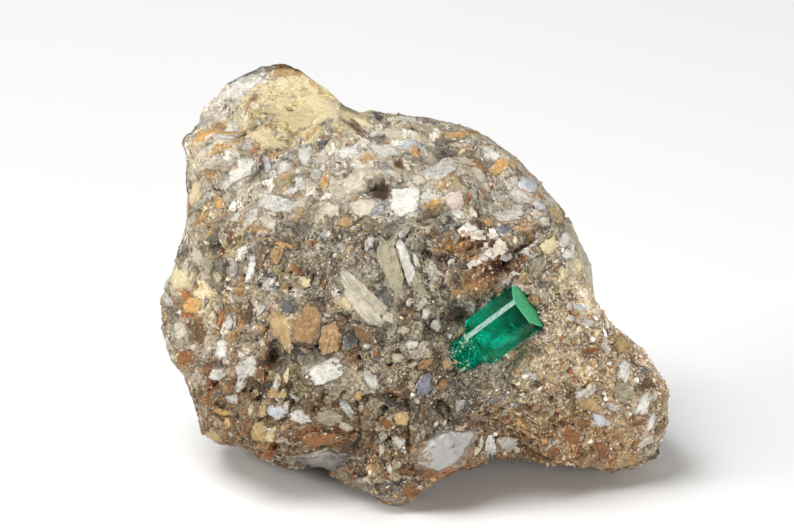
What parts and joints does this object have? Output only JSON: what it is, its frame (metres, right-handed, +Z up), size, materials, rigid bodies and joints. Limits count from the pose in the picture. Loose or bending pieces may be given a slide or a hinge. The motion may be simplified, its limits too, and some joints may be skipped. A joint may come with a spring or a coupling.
{
  "type": "emerald in matrix",
  "caption": "Hand-sized block of pale breccia, pointed at one top corner, with a hexagonal emerald crystal half sunk in its front face.",
  "frame": {"origin": "bottom centre of the specimen's box, on the plane that it stands on", "axes": "+X to the right along the specimen's length, +Y away from the show side, +Z up"},
  "size_m": [0.0819, 0.051, 0.0625],
  "materials": {
    "matrix": "rough broken breccia",
    "emerald": "vitreous crystal faces"
  },
  "bodies": {
    "root": {"matrix": "matrix", "emerald": "emerald"}
  },
  "joints": []
}
